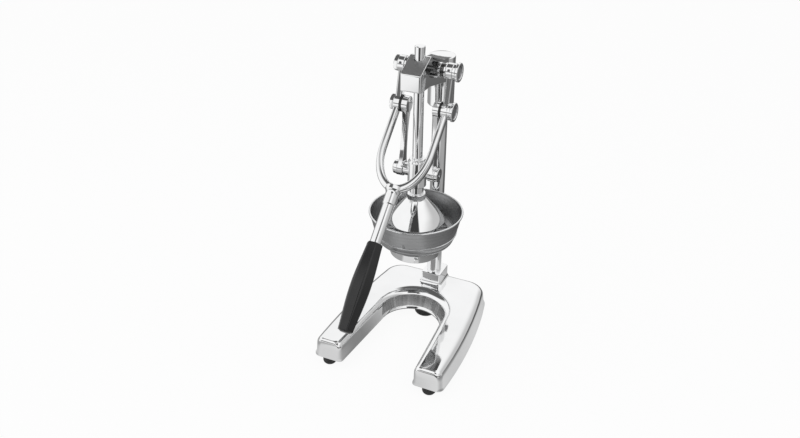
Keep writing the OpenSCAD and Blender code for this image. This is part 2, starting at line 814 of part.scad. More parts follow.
// Blind end of the eyes, which hides the tips of the link pins
eye_blind = 1.6;

module link_pins() {
    start = link_inside + eye_blind + 0.4;
    color(chrome) on_bowl_axis() {
        along_x(pin_y, pin_z) translate([0, 0, start])
            cylinder(r = pin_radius, h = fork_outside + thread_length - start);
        mirror([1, 0, 0]) along_x(pin_y, pin_z) translate([0, 0, start])
            cylinder(r = pin_radius, h = fork_outside + nut_thickness - start);
    }
}

module pin_caps() {
    color(chrome) on_bowl_axis() along_x(pin_y, pin_z) {
        end_collar(pin_radius);
        end_cap(pin_radius);
    }
}

module pin_nut() {
    color(chrome) on_bowl_axis() mirror([1, 0, 0]) along_x(pin_y, pin_z) end_nut(pin_radius);
}

module link_washers() {
    color(black) on_bowl_axis() both_sides() along_x(pin_y, pin_z) difference() {
        translate([0, 0, fork_inside - washer_thickness])
            cylinder(r = eye_radius + 0.3, h = washer_thickness);
        cylinder(r = pin_radius + seat_fit, h = 2 * fork_outside);
    }
}

// Handle

module handle_tube() {
    bore = 4.6;
    start = tube_seat + 0.2;
    color(chrome) on_bowl_axis() along_handle() translate([0, 0, start]) difference() {
        cylinder(r = tube_radius, h = grip_end - 6 - start);
        translate([0, 0, 12]) cylinder(r = bore, h = grip_end);
    }
}

// Radius of the grip over its corners at a share of its length
function grip_swell(t) =
    let (ends = mix(grip_neck_radius, grip_end_radius, t),
        middle = (grip_neck_radius + grip_end_radius) / 2)
    ends + (grip_radius - middle) * pow(sin(180 * t), 1.2);

// Six flats with narrow rounded creases between them; in is how far the ring lies inside
function grip_ring(t, in) =
    let (
        flat_share = grip_end_flat + 0.028 * pow(sin(180 * t), 2),
        r = grip_swell(t) - in,
        d = grip_swell(t) * flat_share - in,
        half = acos(d / r)
    )
    [for (side = [0:5]) each [for (k = [0:4])
        let (a = k == 0 ? -half : mix(half, 60 - half, (k - 1) / 4))
        r * [cos(60 * side + 30 + a), sin(60 * side + 30 + a)]]];

// Moulded six-sided grip whose creases widen in its middle
module grip() {
    steps = 26;
    e = grip_edge;
    turns = [0, 30, handle_droop, 66, 90];
    rings = concat(
        [for (a = turns) lift(grip_ring(0, e * (1 - sin(a))), grip_start + e * (1 - cos(a)))],
        [for (i = [1:steps - 1]) let (t = i / steps) lift(grip_ring(t, 0),
            grip_start + mix(e, grip_length - e, t))],
        [for (i = [4:-1:0]) let (a = turns[i]) lift(grip_ring(1, e * (1 - sin(a))),
            grip_end - e * (1 - cos(a)))]
    );
    color(black) on_bowl_axis() along_handle() difference() {
        loft(rings);
        cylinder(r = tube_radius + seat_fit, h = 2 * grip_end);
    }
}

module grip_end_cap() {
    color(black) on_bowl_axis() along_handle() rotate_extrude() polygon([
        [0, grip_end - 5.8], [4.4, grip_end - 5.8], [4.4, grip_end - 5.6], [tube_radius, grip_end - 5.6],
        [tube_radius, grip_end + 0.4], [tube_radius - 1.4, grip_end + 1.4], [0, grip_end + 1.8]]);
}

// Links

// A bar with an eye at each end, drawn between the two pin axes
module link_bar() {
    waist = 4.6;
    web = 5.6;
    lean = asin(pin_y / link_length);
    side = [for (i = [0:12]) let (t = i / 12)
        [waist + (eye_radius - waist) * pow(abs(2 * t - 1), 2.6) * 0.92, -link_length * t]];
    difference() {
        union() {
            along_x(pin_y, pin_z) translate([0, 0, link_inside])
                cylinder(r = eye_radius, h = eye_thickness);
            along_x(0, cross_pin_z) translate([0, 0, link_inside])
                cylinder(r = eye_radius - 0.5, h = eye_thickness);
            translate([link_inside + (eye_thickness - web) / 2, pin_y, pin_z]) rotate([-lean, 0, 0])
                rotate([90, 0, 90]) linear_extrude(web)
                    polygon(concat(side, [for (i = [12:-1:0]) [-side[i][0], side[i][1]]]));
        }
        along_x(pin_y, pin_z) translate([0, 0, link_inside + eye_blind])
            cylinder(r = pin_radius + running_fit, h = eye_thickness);
        along_x(0, cross_pin_z) translate([0, 0, link_inside - 1])
            cylinder(r = pin_radius + seat_fit, h = eye_thickness + 2);
    }
}

module left_link() {
    color(chrome) on_bowl_axis() mirror([1, 0, 0]) link_bar();
}

module right_link() {
    color(chrome) on_bowl_axis() link_bar();
}

// Shouldered bolts that hold the links to the crosshead
module lower_link_bolts() {
    head = 6;
    head_radius = eye_radius - 1.5;
    color(chrome) on_bowl_axis() both_sides() along_x(0, cross_pin_z) difference() {
        rotate_extrude()
            polygon([[0, link_inside + 0.1], [pin_radius, link_inside + 0.1], [pin_radius, link_outside],
            [head_radius + 1, link_outside], [head_radius + 1, link_outside + 1.6], [head_radius,
                link_outside + 1.6],
            [head_radius, link_outside + head - 0.8], [head_radius - 0.8, link_outside + head], [0,
                link_outside + head]]);
        translate([0, 0, link_outside + head - 3]) cylinder(r = 2.9, h = 4, $fn = 6);
    }
}

// Press

module press_rod() {
    start = bell_top_z - bell_hub - 7;
    color(chrome) on_bowl_axis() rotate_extrude()
        polygon([[0, start], [rod_radius - 0.6, start], [rod_radius, start + 0.6],
        [rod_radius, rod_top_z - 0.8], [rod_radius - 0.8, rod_top_z], [0, rod_top_z]]);
}

bell_hub = 8;

module crosshead() {
    c = cross_radius;
    collar = cross_radius;
    boss = eye_radius - 2;
    color(chrome) on_bowl_axis() difference() {
        union() {
            rotate_extrude() polygon([
                [0, bell_top_z - 2], [collar - 0.8, bell_top_z - 2], [collar, bell_top_z - 1.2],
                [collar, bell_top_z + collar_height - 3], [collar - 0.8, bell_top_z + collar_height - 2],
                [9.3, bell_top_z + collar_height - 2], [9.3, cross_z], [c - 1, cross_z], [c,
                    cross_z + 1],
                [c, cross_z + cross_height - 5], [c - 1.9, cross_z + cross_height - 1.5], [c - 1.9,
                    cross_z + cross_height],
                [0, cross_z + cross_height]]);
            both_sides() along_x(0, cross_pin_z) cylinder(r = boss, h = link_inside - side_gap);
        }
        translate([0, 0, bell_top_z - 10]) cylinder(r = rod_radius + seat_fit, h = 100);
        translate([0, 0, cross_z + 10]) rotate([-90, 0, 0]) cylinder(r = 2.5 + seat_fit, h = 2 * c);
    }
}

module crosshead_set_screw() {
    color(dark_steel) on_bowl_axis() translate([0, rod_radius + 0.1, cross_z + 10])
        rotate([-90, 0, 0]) difference() {
        cylinder(r = 2.5, h = 5);
        translate([0, 0, 3]) cylinder(r = 1.4, h = 3, $fn = 6);
    }
}

// Outer half outline of the bell from its neck to its mouth
function bell_outline(in) = [
    for (p = concat(
        [[10.5, bell_height - 2], [13, bell_height - 3.4]],
        arc([bell_radius - 11, bell_height - 30], 11 - in, 58, 0, 8),
        [[bell_radius - in, 0]]
    )) p + [0, bell_z]];

module press_bell() {
    wall = 2.4;
    outer = bell_outline(0);
    inner = bell_outline(wall);
    color(chrome) on_bowl_axis() difference() {
        rotate_extrude() polygon(concat([[0, bell_top_z - 2]], outer, [[0, bell_z]]));
        rotate_extrude() polygon(concat(
            [[0, bell_top_z - bell_hub], [11, bell_top_z - bell_hub]],
            [for (i = [2:len(inner) - 1]) inner[i]],
            [[bell_radius - wall, bell_z - 1], [0, bell_z - 1]]
        ));
        translate([0, 0, bell_z]) cylinder(r = rod_radius + seat_fit, h = bell_height);
    }
}

module bell_nut() {
    height = 5;
    color(dark_steel) on_bowl_axis() translate([0, 0, bell_top_z - bell_hub - height]) difference() {
        cylinder(r = 10, h = height, $fn = 6);
        translate([0, 0, -1]) cylinder(r = rod_radius + seat_fit, h = height + 2);
    }
}

// Bowl, strainer and cone

rim_bead = 1.3;
bead_end = -98;
wall_foot = [bowl_step_radius + 0.3, step_z + 1];
wall_head = [bowl_radius - rim_bead, rim_z - rim_bead] + rim_bead * [cos(bead_end), sin(bead_end)];
spigot_radius = ring_radius - ring_wall - 0.5;
spout_drop = 20;

// Outline of the bowl's sheet on its outside, from the wall above the step down to the spout
bowl_outside = [
    wall_foot, [bowl_step_radius - 1.6, step_z - 1.2],
    [ring_radius + 2, ring_top + 1.2], [ring_radius + 1, ring_top], [spigot_radius, ring_top],
    [spigot_radius, ring_top - 6.5], [spout_radius, ring_top - 10], [spout_radius, ring_top - spout_drop]
];

module bowl() {
    t = bowl_sheet;
    inside = [
        [spout_radius - t, ring_top - spout_drop], [spout_radius - t,
            ring_top - 9.6 + t], [spigot_radius - t, ring_top - 5.6 + t],
        [spigot_radius - t, ring_top + t], [ring_radius + 0.6, ring_top + t],
        [ring_radius + 1.4, ring_top + 1.4 + t], [bowl_step_radius - 3.6,
            step_z], [bowl_step_radius - 1, step_z],
        [bowl_step_radius - 1, step_z + 1.2]
    ];
    // The rolled bead turns over the top of the wall, from its inner to its outer face
    bead = arc([bowl_radius - rim_bead, rim_z - rim_bead], rim_bead, 216, bead_end, 18);
    color(brushed) on_bowl_axis() rotate_extrude($fn = 96) polygon(concat(bead, bowl_outside, inside));
}

// Rivet head on the outside of the bowl, just above the step
module bowl_rivet() {
    share = 0.1;
    clear = 0.01;
    slope = atan2(wall_head[0] - wall_foot[0], wall_head[1] - wall_foot[1]);
    seat = mix(wall_foot, wall_head, share);
    color(brushed) on_bowl_axis() rotate([0, 0, -84]) translate([seat[0] + clear, 0, seat[1]])
        rotate([0, 90 + slope, 0]) rotate_extrude()
            polygon([[0, 0], [2.6, 0], [2.2, 1], [1.2, 1.6], [0, 1.8]]);
}

// Strainer that rests on the step, with a raised seat for the cone in its middle
cone_seat = 27;
seat_rise = 5;
strainer_sheet = 1;
strainer_floor = 2.4;

module strainer() {
    t = strainer_sheet;
    edge = bowl_step_radius - 1.4;
    slope_start = edge - 3.5;
    slope_end = edge - 9;
    slot_start = cone_seat + 2.5;
    slot_width = 2.2;
    color(brushed) on_bowl_axis() translate([0, 0, step_z]) difference() {
        rotate_extrude($fn = 96) polygon([
            [edge, 0], [edge, t], [slope_start, t], [slope_end, t - strainer_floor], [cone_seat + t,
                t - strainer_floor],
            [cone_seat, seat_rise], [0, seat_rise], [0, seat_rise - t], [cone_seat - t, seat_rise - t],
            [cone_seat, -strainer_floor], [slope_end - 0.3, -strainer_floor], [slope_start - 0.3, 0]]);
        for (i = [0:strainer_slots - 1]) rotate([0, 0, 360 * (i + 0.5) / strainer_slots])
            translate([slot_start, -slot_width / 2, -strainer_floor - 1])
                cube([slope_end - 1.5 - slot_start, slot_width, strainer_floor + 2]);
    }
}

// Ribbed cone that the fruit is pressed on
module cone() {
    foot = cone_seat + 1;
    rib = 2.2;
    h = cone_height;
    color(chrome) on_bowl_axis() translate([0, 0, step_z + seat_rise]) difference() {
        union() {
            rotate_extrude()
                polygon([[0, 0], [foot, 0], [foot + 1, 1], [foot + 0.6, 4], [4.5, h - 0.6],
                    [2.5, h], [0, h]]);
            for (i = [0:cone_ribs - 1]) rotate([0, 0, 360 * (i + 0.5) / cone_ribs])
                translate([0, rib / 2, 0])
                rotate([90, 0, 0]) linear_extrude(rib) polygon([
                    [4, 1], [foot + 0.8, 1], [foot + 1, 4.8], [foot - 0.5, 6.2], [6, h - 0.2], [4,
                        h - 0.2]]);
        }
        translate([0, 0, -1]) cylinder(r = cone_seat - 3, h = 3);
    }
}

base();
front_feet();
back_foot();
foot_screws();
post();
post_bolt();
post_washer();
bowl_holder();
holder_clamp_screw();
bowl_lock_screw();
head();
head_set_screws();
guide_bush();
pivot_bushes();
fork_lever();
pivot_shaft();
pivot_collar();
pivot_cap();
pivot_nut();
fork_set_screws();
link_pins();
pin_caps();
pin_nut();
link_washers();
handle_tube();
grip();
grip_end_cap();
left_link();
right_link();
lower_link_bolts();
press_rod();
crosshead();
crosshead_set_screw();
press_bell();
bell_nut();
bowl();
bowl_rivet();
strainer();
cone();
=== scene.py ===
# Looks of a lever citrus juicer: finishes, softened castings, turned parts and a plain studio.
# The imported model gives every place. Lengths are in metres, +Z is up and the front faces -Y.

import json
import math

import bmesh
import bpy
from bpy.props import FloatProperty, FloatVectorProperty, IntProperty, PointerProperty
from mathutils import Matrix, Vector
from mathutils.bvhtree import BVHTree


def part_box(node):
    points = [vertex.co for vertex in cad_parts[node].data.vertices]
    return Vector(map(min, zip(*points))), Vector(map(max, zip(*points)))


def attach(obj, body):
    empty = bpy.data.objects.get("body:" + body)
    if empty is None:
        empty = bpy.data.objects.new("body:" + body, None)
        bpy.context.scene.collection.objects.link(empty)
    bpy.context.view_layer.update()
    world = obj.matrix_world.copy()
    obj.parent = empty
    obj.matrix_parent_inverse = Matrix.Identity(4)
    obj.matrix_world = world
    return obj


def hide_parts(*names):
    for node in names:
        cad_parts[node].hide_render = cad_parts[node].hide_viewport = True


bl_info = {
    "name": "Lever citrus juicer",
    "version": (1, 0, 0),
    "blender": (4, 5, 0),
    "location": "View3D > Sidebar > Juicer",
    "description": "Finishes, softened castings, turned parts and studio for a lever citrus juicer",
    "category": "Add Mesh",
}

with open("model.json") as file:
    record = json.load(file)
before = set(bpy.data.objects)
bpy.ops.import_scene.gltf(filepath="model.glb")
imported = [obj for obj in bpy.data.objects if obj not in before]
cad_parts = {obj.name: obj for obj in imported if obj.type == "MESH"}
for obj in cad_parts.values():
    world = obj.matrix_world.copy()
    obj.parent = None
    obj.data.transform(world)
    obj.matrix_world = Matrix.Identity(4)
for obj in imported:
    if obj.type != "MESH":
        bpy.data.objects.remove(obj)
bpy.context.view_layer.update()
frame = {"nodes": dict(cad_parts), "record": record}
MM = 0.001
BODY_OF = {n: b for b, nodes in frame["record"]["behaviour"]["bodies"].items() for n in nodes}

# Axis of the bowl, the rod and the bell
BOWL_LOW, BOWL_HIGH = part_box("bowl")
AXIS = (BOWL_LOW + BOWL_HIGH) / 2
AXIS.z = 0.0

# Heights of the bowl's rim and step and of its holder's top, and of the press bell's mouth, in mm
RIM = BOWL_HIGH.z / MM
STEP = RIM - 29.0
RING = RIM - 51.5
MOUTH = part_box("press_bell")[0].z / MM

# Top of the feet, and more than the height of the hollow inside the base
FOOT_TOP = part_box("back_foot")[1].z
HOLLOW_HEIGHT = 0.06

# Middle and widest radius of the round back of the base's gap, and the height of its wall's upper edge
GAP_CENTRE = AXIS - Vector((0, 0.01, 0))
GAP_RADIUS = 0.062
GAP_WALL_TOP = 0.0335

# Bevels on castings with flat faces, which are joined first, and steps round a small turned part
FLAT_CASTING = {"angle": 50.0, "segments": 3, "shade": 36.0, "flat": 0.6}
SMALL_STEPS = 72

# Wall of the press bell, bore of the pivot bushes and radius of the bead on the bowl's rim, in mm
BELL_WALL = 1.6
BUSH_BORE = 6.1
BEAD = 1.3


# Selecting and editing, as by hand

def deselect():
    if bpy.context.object and bpy.context.object.mode != "OBJECT":
        bpy.ops.object.mode_set(mode="OBJECT")
    bpy.ops.object.select_all(action="DESELECT")


def take(piece):
    deselect()
    piece.select_set(True)
    bpy.context.view_layer.objects.active = piece


class Editing:
    """Edit mode on one piece; gives its bmesh with nothing selected."""

    def __init__(self, piece, mode="VERT"):
        self.piece, self.mode = piece, mode

    def __enter__(self):
        take(self.piece)
        bpy.ops.object.mode_set(mode="EDIT")
        bpy.ops.mesh.select_mode(type=self.mode)
        bpy.ops.mesh.select_all(action="DESELECT")
        return bmesh.from_edit_mesh(self.piece.data)

    def __exit__(self, *problem):
        bpy.ops.object.mode_set(mode="OBJECT")


def pick(mesh, elements, test):
    """Selects the vertices, edges or faces that pass the test."""
    for element in elements:
        element.select_set(bool(test(element)))
    mesh.select_flush_mode()


def paint(piece, slot, test):
    """Gives the faces that pass the test one of the piece's finishes."""
    with Editing(piece, "FACE") as mesh:
        pick(mesh, mesh.faces, test)
        piece.active_material_index = slot
        bpy.ops.object.material_slot_assign()


def apply_modifiers(piece):
    take(piece)
    for name in [m.name for m in piece.modifiers]:
        bpy.ops.object.modifier_apply(modifier=name)


def place(piece, matrix):
    """Puts a piece drawn about the origin in its place, and leaves the place in its mesh."""
    take(piece)
    piece.matrix_world = matrix
    bpy.ops.object.transform_apply(location=True, rotation=True, scale=True)


def smooth(piece, angle=40.0):
    take(piece)
    bpy.ops.object.shade_smooth_by_angle(angle=math.radians(angle))
    weighted = piece.modifiers.new("Weighted normals", "WEIGHTED_NORMAL")
    weighted.mode = "FACE_AREA_WITH_ANGLE"
    weighted.keep_sharp = True
    apply_modifiers(piece)


def settle(piece, finishes, slot, *nodes):
    """Gives a new piece its finishes and the body of the first CAD node, and hides the CAD nodes that it
    stands for.
    """
    piece.data.materials.clear()
    for name in finishes.split():
        piece.data.materials.append(finish(name))
    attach(piece, BODY_OF[nodes[0]])
    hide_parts(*nodes)


def merged_copy(node, name):
    """A copy of a CAD node with its loose triangles merged."""
    source = frame["nodes"][node]
    piece = bpy.data.objects.new(name, source.data.copy())
    bpy.context.scene.collection.objects.link(piece)
    take(piece)
    bpy.ops.mesh.customdata_custom_splitnormals_clear()
    with Editing(piece):
        bpy.ops.mesh.select_all(action="SELECT")
        bpy.ops.mesh.remove_doubles(threshold=0.00001)
    return piece


def softened(node, width, angle=38.0, segments=2, shade=42.0, flat=0.0):
    """A merged copy of a CAD node with its sharp edges rounded off; flat joins faces within that angle."""
    piece = merged_copy(node, node + "_softened")
    if flat:
        with Editing(piece):
            bpy.ops.mesh.select_all(action="SELECT")
            bpy.ops.mesh.dissolve_limited(angle_limit=math.radians(flat))
    if width:
        bevel = piece.modifiers.new("Soft edges", "BEVEL")
        bevel.width = width
        bevel.segments = segments
        bevel.limit_method = "ANGLE"
        bevel.angle_limit = math.radians(angle)
        bevel.use_clamp_overlap = False
        bevel.miter_outer = "MITER_ARC"
        apply_modifiers(piece)
    smooth(piece, shade)
    return piece


def turned(name, profile, steps):
    """A piece turned about its own Z axis from (radius, height) points, drawn as by hand."""
    deselect()
    bpy.ops.mesh.primitive_plane_add(size=MM)
    piece = bpy.context.object
    piece.name = piece.data.name = name
    with Editing(piece) as mesh:
        mesh.verts.ensure_lookup_table()
        for vertex in mesh.verts[1:]:
            vertex.select_set(True)
        bpy.ops.mesh.delete(type="VERT")
    with Editing(piece) as mesh:
        mesh.verts.ensure_lookup_table()
        mesh.verts[0].co = (profile[0][0], 0, profile[0][1])
        mesh.verts[0].select_set(True)
        mesh.select_flush_mode()
        bmesh.update_edit_mesh(piece.data)
        for before, after in zip(profile, profile[1:]):
            step = (after[0] - before[0], 0, after[1] - before[1])
            bpy.ops.mesh.extrude_region_move(TRANSFORM_OT_translate={"value": step})
        bpy.ops.mesh.select_all(action="SELECT")
        bpy.ops.mesh.spin(steps=steps, angle=math.tau, center=(0, 0, 0), axis=(0, 0, 1))
        bpy.ops.mesh.select_all(action="SELECT")
        bpy.ops.mesh.remove_doubles(threshold=0.000005)
        bpy.ops.mesh.normals_make_consistent(inside=False)
    return piece


def curved(points, steps=8):
    """A smooth line through (radius, height) points."""
    ends = [Vector(point) for point in (points[0], *points, points[-1])]
    line = []
    for a, b, c, d in zip(ends, ends[1:], ends[2:], ends[3:]):
        for i in range(steps):
            s = i / steps
            bend = (2 * a - 5 * b + 4 * c - d) * s ** 2 + (3 * b - a - 3 * c + d) * s ** 3
            line.append(tuple(b + ((c - a) * s + bend) / 2))
    return line + [points[-1]]


def in_mm(points):
    return [(radius * MM, height * MM) for radius, height in points]


def arc(centre, radius, start, end, steps):
    """Points of an arc in a (radius, height) profile; angles in degrees."""
    turns = [math.radians(start + (end - start) * i / steps) for i in range(steps + 1)]
    return [(centre[0] + radius * math.cos(a), centre[1] + radius * math.sin(a)) for a in turns]


# Finishes

class Finish:
    """A procedural finish round one Principled surface, on Object coordinates."""

    def __init__(self, name, colour, metallic, roughness):
        self.material = bpy.data.materials.new(name)
        self.material.use_nodes = True
        self.tree = self.material.node_tree
        self.surface = self.tree.nodes["Principled BSDF"]
        self.surface.inputs["Metallic"].default_value = metallic
        self.surface.inputs["Roughness"].default_value = roughness
        self.surface.inputs["Base Color"].default_value = (*colour, 1.0)
        self.material.diffuse_color = (*colour, 1.0)
        self.coordinates = self.add("ShaderNodeTexCoord").outputs["Object"]
        self.height = None

    def add(self, kind, settings=None, **inputs):
        node = self.tree.nodes.new(kind)
        for key, value in (settings or {}).items():
            setattr(node, key, value)
        for key, value in inputs.items():
            socket = node.inputs[int(key[1:])] if key[0] == "i" and key[1:].isdigit() else node.inputs[key]
            self.feed(value, socket)
        return node

    def feed(self, value, socket):
        if isinstance(value, bpy.types.NodeSocket):
            self.tree.links.new(value, socket)
        else:
            socket.default_value = value

    def math(self, operation, a, b=0.0):
        return self.add("ShaderNodeMath", {"operation": operation}, i0=a, i1=b).outputs[0]

    def product(self, first, *others):
        for other in others:
            first = self.math("MULTIPLY", first, other)
        return first

    def length(self, x, y):
        return self.math("SQRT", self.math("ADD", self.math("MULTIPLY", x, x), self.math("MULTIPLY", y, y)))

    def mapped(self, scale=(1, 1, 1), location=(0, 0, 0), rotation=(0, 0, 0)):
        return self.add("ShaderNodeMapping", Vector=self.coordinates, Scale=scale, Location=location,
                        Rotation=rotation).outputs[0]

    def noise(self, scale, detail=2.0, rough=0.5, vector=None):
        return self.add("ShaderNodeTexNoise", Vector=vector or self.coordinates, Scale=scale,
                        Detail=detail, Roughness=rough).outputs["Fac"]

    def span(self, value, low, high, start=0.3, end=0.7):
        """Maps a value between start and end to one between low and high."""
        node = self.add("ShaderNodeMapRange", i0=value, i1=start, i2=end, i3=low, i4=high)
        return node.outputs[0]

    def tint(self, factor, dark, light):
        ramp = self.add("ShaderNodeValToRGB", Fac=factor)
        ramp.color_ramp.elements[0].position = 0.3
        ramp.color_ramp.elements[0].color = (*dark, 1.0)
        ramp.color_ramp.elements[1].position = 0.7
        ramp.color_ramp.elements[1].color = (*light, 1.0)
        self.feed(ramp.outputs["Color"], self.surface.inputs["Base Color"])

    def roughen(self, factor, low, high):
        self.feed(self.span(factor, low, high), self.surface.inputs["Roughness"])

    def emboss(self, height, strength, depth):
        """Adds a bump on top of those that are there already."""
        bump = self.add("ShaderNodeBump", Height=height, Strength=strength, Distance=depth)
        if self.height:
            self.feed(self.height, bump.inputs["Normal"])
        self.height = bump.outputs["Normal"]
        self.feed(self.height, self.surface.inputs["Normal"])

    def round_axis(self, centre):
        """Distance from an upright axis, turn about it and height, for lines that run round or along it."""
        split = self.add("ShaderNodeSeparateXYZ", Vector=self.mapped(location=(-centre[0], -centre[1], 0)))
        x, y, z = split.outputs
        return self.length(x, y), self.math("ARCTAN2", y, x), z


def sideways(y, z, left=False):
    """Place of a part turned about its own Z axis that lies across the juicer and points outwards."""
    turn = Matrix.Rotation(math.radians(-90 if left else 90), 4, "Y")
    return Matrix.Translation((0, y, z)) @ turn


def shade(colour, amount):
    return tuple(min(1.0, c * amount) for c in colour)


def cast_finish(look):
    f = Finish("Polished casting", look.casting_colour, 1.0, 0.1)
    f.tint(f.noise(14.0, 3.0), shade(look.casting_colour, 0.95), shade(look.casting_colour, 1.03))
    f.roughen(f.noise(65.0, 4.0, 0.6), 0.03, 0.08)
    f.emboss(f.noise(30.0, 1.0), look.casting_wave, 0.0012)
    f.emboss(f.noise(420.0, 3.0), 0.012, 0.0002)
    return f.material


def ground_and_shaded_finish(look):
    """Face on top of the head, ground with very fine lines that run across, in a colour half the casting's
    that is painted shade.
    """
    f = Finish("Shaded ground face", shade(look.casting_colour, 0.5), 1.0, 0.44)
    lines = f.mapped(scale=(0.05, 1.0, 1.0))
    f.tint(f.noise(2600.0, 2.0, 0.5, lines),
           shade(look.casting_colour, 0.46), shade(look.casting_colour, 0.52))
    f.roughen(f.noise(3400.0, 2.0, 0.5, lines), 0.4, 0.48)
    f.emboss(f.noise(4200.0, 2.0, 0.5, lines), 0.03, 0.00005)
    return f.material


def gap_shade_finish(look):
    """Satin wall at the back of the gap, painted darker as shade, with upright streaks that are painted
    reflection in its colour and run through its roughness and bump too.
    """
    f = Finish("Gap wall painted shade", shade(look.casting_colour, 0.5), 1.0, 0.3)
    _, turn, height = f.round_axis(GAP_CENTRE)
    streaks = f.add("ShaderNodeCombineXYZ", X=turn, Y=0.0, Z=f.math("MULTIPLY", height, 1.5)).outputs[0]
    f.tint(f.noise(9.0, 4.0, 0.65, streaks),
           shade(look.casting_colour, 0.3), shade(look.casting_colour, 0.62))
    f.roughen(f.noise(90.0, 3.0, 0.6, streaks), 0.24, 0.4)
    f.emboss(f.noise(160.0, 3.0, 0.6, streaks), 0.06, 0.0001)
    return f.material


def chrome_finish(look):
    f = Finish("Chrome plate", look.chrome_colour, 1.0, 0.06)
    f.tint(f.noise(40.0, 2.0), shade(look.chrome_colour, 0.97), shade(look.chrome_colour, 1.02))
    f.roughen(f.noise(180.0, 5.0, 0.6), 0.025, 0.06)
    f.emboss(f.noise(900.0, 2.0), 0.015, 0.0001)
    return f.material


def steel_finish(look):
    """Satin steel with fine lines that run round the bowl's axis."""
    f = Finish("Satin steel", look.steel_colour, 1.0, 0.35)
    distance, turn, height = f.round_axis(AXIS)
    lines = f.add("ShaderNodeCombineXYZ", X=distance, Y=height, Z=f.math("MULTIPLY", turn, 0.0006)).outputs[0]
    fine = f.noise(2600.0, 4.0, 0.7, lines)
    broad = f.noise(320.0, 3.0, 0.6, lines)
    f.tint(broad, shade(look.steel_colour, 0.9), shade(look.steel_colour, 1.08))
    f.roughen(fine, 0.24, 0.42)
    f.emboss(fine, 0.12, 0.0001)
    return f.material


def rim_highlight_finish(look):
    """Finely polished steel of the bowl's rim and step line, nearly twice as bright as the bowl's steel: a
    painted highlight.
    """
    f = Finish("Rim painted highlight", shade(look.steel_colour, 1.85), 1.0, 0.16)
    f.tint(f.noise(90.0, 3.0), shade(look.steel_colour, 1.8), shade(look.steel_colour, 1.92))
    f.roughen(f.noise(800.0, 3.0), 0.12, 0.22)
    f.emboss(f.noise(1500.0, 2.0), 0.02, 0.0001)
    return f.material


def screw_finish(look):
    f = Finish("Dark screw steel", look.screw_colour, 1.0, 0.34)
    f.tint(f.noise(300.0, 4.0), shade(look.screw_colour, 0.8), shade(look.screw_colour, 1.15))
    f.roughen(f.noise(900.0, 3.0), 0.26, 0.45)
    f.emboss(f.noise(1800.0, 2.0), 0.05, 0.0001)
    return f.material


def bronze_finish(look):
    f = Finish("Bush bronze", look.bronze_colour, 1.0, 0.28)
    f.tint(f.noise(220.0, 4.0), shade(look.bronze_colour, 0.85), shade(look.bronze_colour, 1.08))
    f.roughen(f.noise(1200.0, 3.0), 0.2, 0.38)
    f.emboss(f.noise(2400.0, 2.0), 0.05, 0.0001)
    return f.material


def rubber_finish(look):
    f = Finish("Foot rubber", look.rubber_colour, 0.0, 0.6)
    f.tint(f.noise(160.0, 4.0), shade(look.rubber_colour, 0.75), shade(look.rubber_colour, 1.35))
    f.roughen(f.noise(500.0, 3.0), 0.48, 0.7)
    f.emboss(f.noise(2200.0, 3.0), 0.12, 0.0002)
    f.surface.inputs["Specular IOR Level"].default_value = 0.45
    return f.material


def grip_finish(look):
    """Black moulded plastic with a fine spark-eroded grain."""
    f = Finish("Grip plastic", look.grip_colour, 0.0, 0.3)
    f.tint(f.noise(90.0, 3.0), shade(look.grip_colour, 0.85), shade(look.grip_colour, 1.2))
    f.roughen(f.noise(700.0, 4.0, 0.6), 0.16, 0.26)
    f.emboss(f.noise(3200.0, 2.0), 0.03, 0.0001)
    f.surface.inputs["Specular IOR Level"].default_value = 0.5
    return f.material


def washer_finish(look):
    f = Finish("Washer plastic", look.washer_colour, 0.0, 0.42)
    f.tint(f.noise(200.0, 3.0), shade(look.washer_colour, 0.8), shade(look.washer_colour, 1.3))
    f.roughen(f.noise(900.0, 3.0), 0.36, 0.5)
    f.emboss(f.noise(2600.0, 2.0), 0.06, 0.0001)
    return f.material


def bush_finish(look):
    """Smooth black nylon of the bushes beside the head."""
    f = Finish("Bush nylon", look.washer_colour, 0.0, 0.14)
    f.tint(f.noise(150.0, 3.0), shade(look.washer_colour, 0.8), shade(look.washer_colour, 1.3))
    f.roughen(f.noise(700.0, 3.0), 0.1, 0.2)
    f.emboss(f.noise(1400.0, 2.0), 0.03, 0.0001)
    f.surface.inputs["Specular IOR Level"].default_value = 0.9
    f.surface.inputs["Coat Weight"].default_value = 1.0
    return f.material


def raw_cast_finish(look):
    """Grained as-cast surface inside the hollow base."""
    f = Finish("Raw casting", shade(look.casting_colour, 0.62), 0.9, 0.62)
    f.tint(f.noise(120.0, 4.0), shade(look.casting_colour, 0.5), shade(look.casting_colour, 0.68))
    f.roughen(f.noise(600.0, 3.0), 0.52, 0.72)
    f.emboss(f.noise(900.0, 4.0, 0.6), 0.35, 0.0004)
    return f.material


MAKERS = {
    "casting": cast_finish, "chrome": chrome_finish, "steel": steel_finish, "screw": screw_finish,
    "bronze": bronze_finish, "rubber": rubber_finish, "grip": grip_finish, "washer": washer_finish,
    "raw": raw_cast_finish, "ground": ground_and_shaded_finish, "rim": rim_highlight_finish, "bush": bush_finish,
    "lined": gap_shade_finish,
}
FINISHES = {}


def finish(name):
    """One finish of the juicer, made when it is first asked for."""
    if name not in FINISHES:
        FINISHES[name] = MAKERS[name](bpy.context.scene.juicer_look)
    return FINISHES[name]


def dress(finish_name, *nodes):
    """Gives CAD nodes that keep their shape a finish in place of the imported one."""
    for node in nodes:
        for slot in frame["nodes"][node].material_slots:
            slot.material = finish(finish_name)


# Sizes and colours that a user would change

